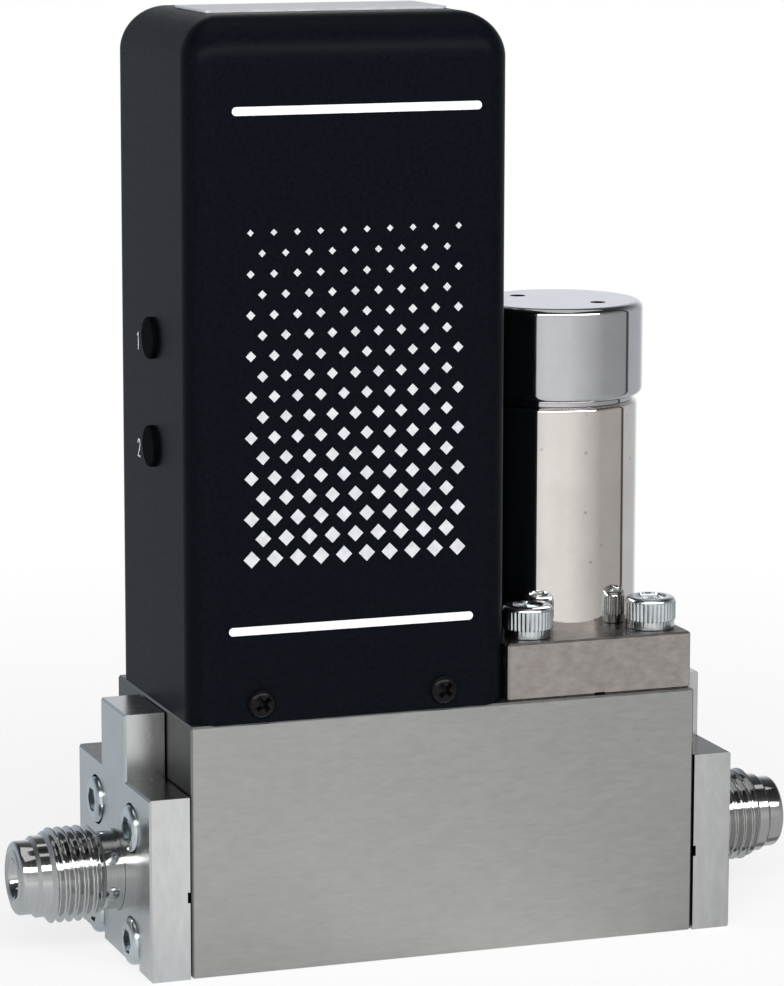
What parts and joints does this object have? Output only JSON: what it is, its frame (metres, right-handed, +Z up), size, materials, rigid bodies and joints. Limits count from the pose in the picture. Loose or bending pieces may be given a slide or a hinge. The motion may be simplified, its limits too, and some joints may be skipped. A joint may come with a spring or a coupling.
{
  "type": "mass flow controller",
  "caption": "Thermal mass flow controller with a steel flow block, threaded gland fittings at both ends, a black electronics cover and a solenoid control valve.",
  "frame": {"origin": "bottom centre of the flow block, midway between the two fittings", "axes": "+X along the gas flow from inlet to outlet, -Y towards the front, +Z up"},
  "size_m": [0.124, 0.0406, 0.1406],
  "materials": {
    "satin_steel": "fine horizontal satin grain",
    "flange_steel": "bright satin, machined",
    "fitting_steel": "turned and electropolished",
    "plate_steel": "satin, slightly brown",
    "can_nickel": "polished nickel, slightly warm",
    "cap_polish": "mirror polished",
    "zinc": "bright zinc",
    "black_paint": "fine low-gloss black paint",
    "black_steel": "black oxide",
    "black_rubber": "matte",
    "label_foil": "pale satin foil",
    "inner_steel": "machined",
    "magnetic_steel": "ground",
    "frame_aluminium": "milled",
    "seal_nickel": "soft nickel",
    "seal_rubber": "matte elastomer",
    "board_green": "solder mask",
    "chip_plastic": "moulded",
    "trimmer_blue": "moulded",
    "brass": "plain",
    "copper_wire": "enamelled copper",
    "natural_nylon": "moulded",
    "connector_black": "moulded"
  },
  "bodies": {
    "controller": {"flow_body": "satin_steel", "inlet_flange": "flange_steel", "outlet_flange": "flange_steel", "inlet_fitting": "fitting_steel", "outlet_fitting": "fitting_steel", "valve_plate": "plate_steel", "valve_housing": "can_nickel", "valve_cap": "cap_polish", "inlet_flange_screws": "zinc", "outlet_flange_screws": "zinc", "valve_screws": "zinc", "chassis_screws": "zinc", "bracket_screws": "zinc", "board_screws": "zinc", "sensor_screws": "zinc", "jack_posts": "zinc", "connector_shell": "zinc", "cover": "black_paint", "cover_screws": "black_steel", "span_plug": "black_rubber", "zero_plug": "black_rubber", "lead_bush": "black_rubber", "top_label": "label_foil", "flow_restrictor": "inner_steel", "inlet_filter": "inner_steel", "sensor_base": "inner_steel", "sensor_tube": "inner_steel", "orifice": "inner_steel", "core_tube": "inner_steel", "plunger_spring": "inner_steel", "pole_piece": "magnetic_steel", "chassis_frame": "frame_aluminium", "sensor_housing": "frame_aluminium", "board_bracket": "frame_aluminium", "board_spacers": "frame_aluminium", "inlet_seal": "seal_nickel", "outlet_seal": "seal_nickel", "valve_seal": "seal_nickel", "sensor_seals": "seal_rubber", "orifice_seal": "seal_rubber", "circuit_board": "board_green", "control_chip": "chip_plastic", "amplifier_chips": "chip_plastic", "capacitors": "chip_plastic", "span_trimmer": "trimmer_blue", "zero_trimmer": "trimmer_blue", "connector_pins": "brass", "coil_winding": "copper_wire", "sensor_windings": "copper_wire", "coil_bobbin": "natural_nylon", "valve_terminal": "natural_nylon", "connector_insulator": "connector_black", "sensor_connector": "connector_black", "valve_leads": "connector_black"},
    "plunger_body": {"plunger": "magnetic_steel", "plunger_seat": "seal_rubber"},
    "span_adjuster": {"span_trimmer_screw": "brass"},
    "zero_adjuster": {"zero_trimmer_screw": "brass"}
  },
  "joints": [
    {"name": "plunger_lift", "type": "slide", "parent": "controller", "child": "plunger_body", "axis": [0, 0, 1], "range_m": [0, 0.00025], "stiffness_N_per_m": 2000, "springref_m": -0.001, "deforming": ["plunger_spring"]},
    {"name": "span_turn", "type": "hinge", "parent": "controller", "child": "span_adjuster", "pos_m": [-0.0335, 0, 0.0924], "axis": [1, 0, 0], "continuous": true},
    {"name": "zero_turn", "type": "hinge", "parent": "controller", "child": "zero_adjuster", "pos_m": [-0.0335, 0, 0.0763], "axis": [1, 0, 0], "continuous": true}
  ]
}
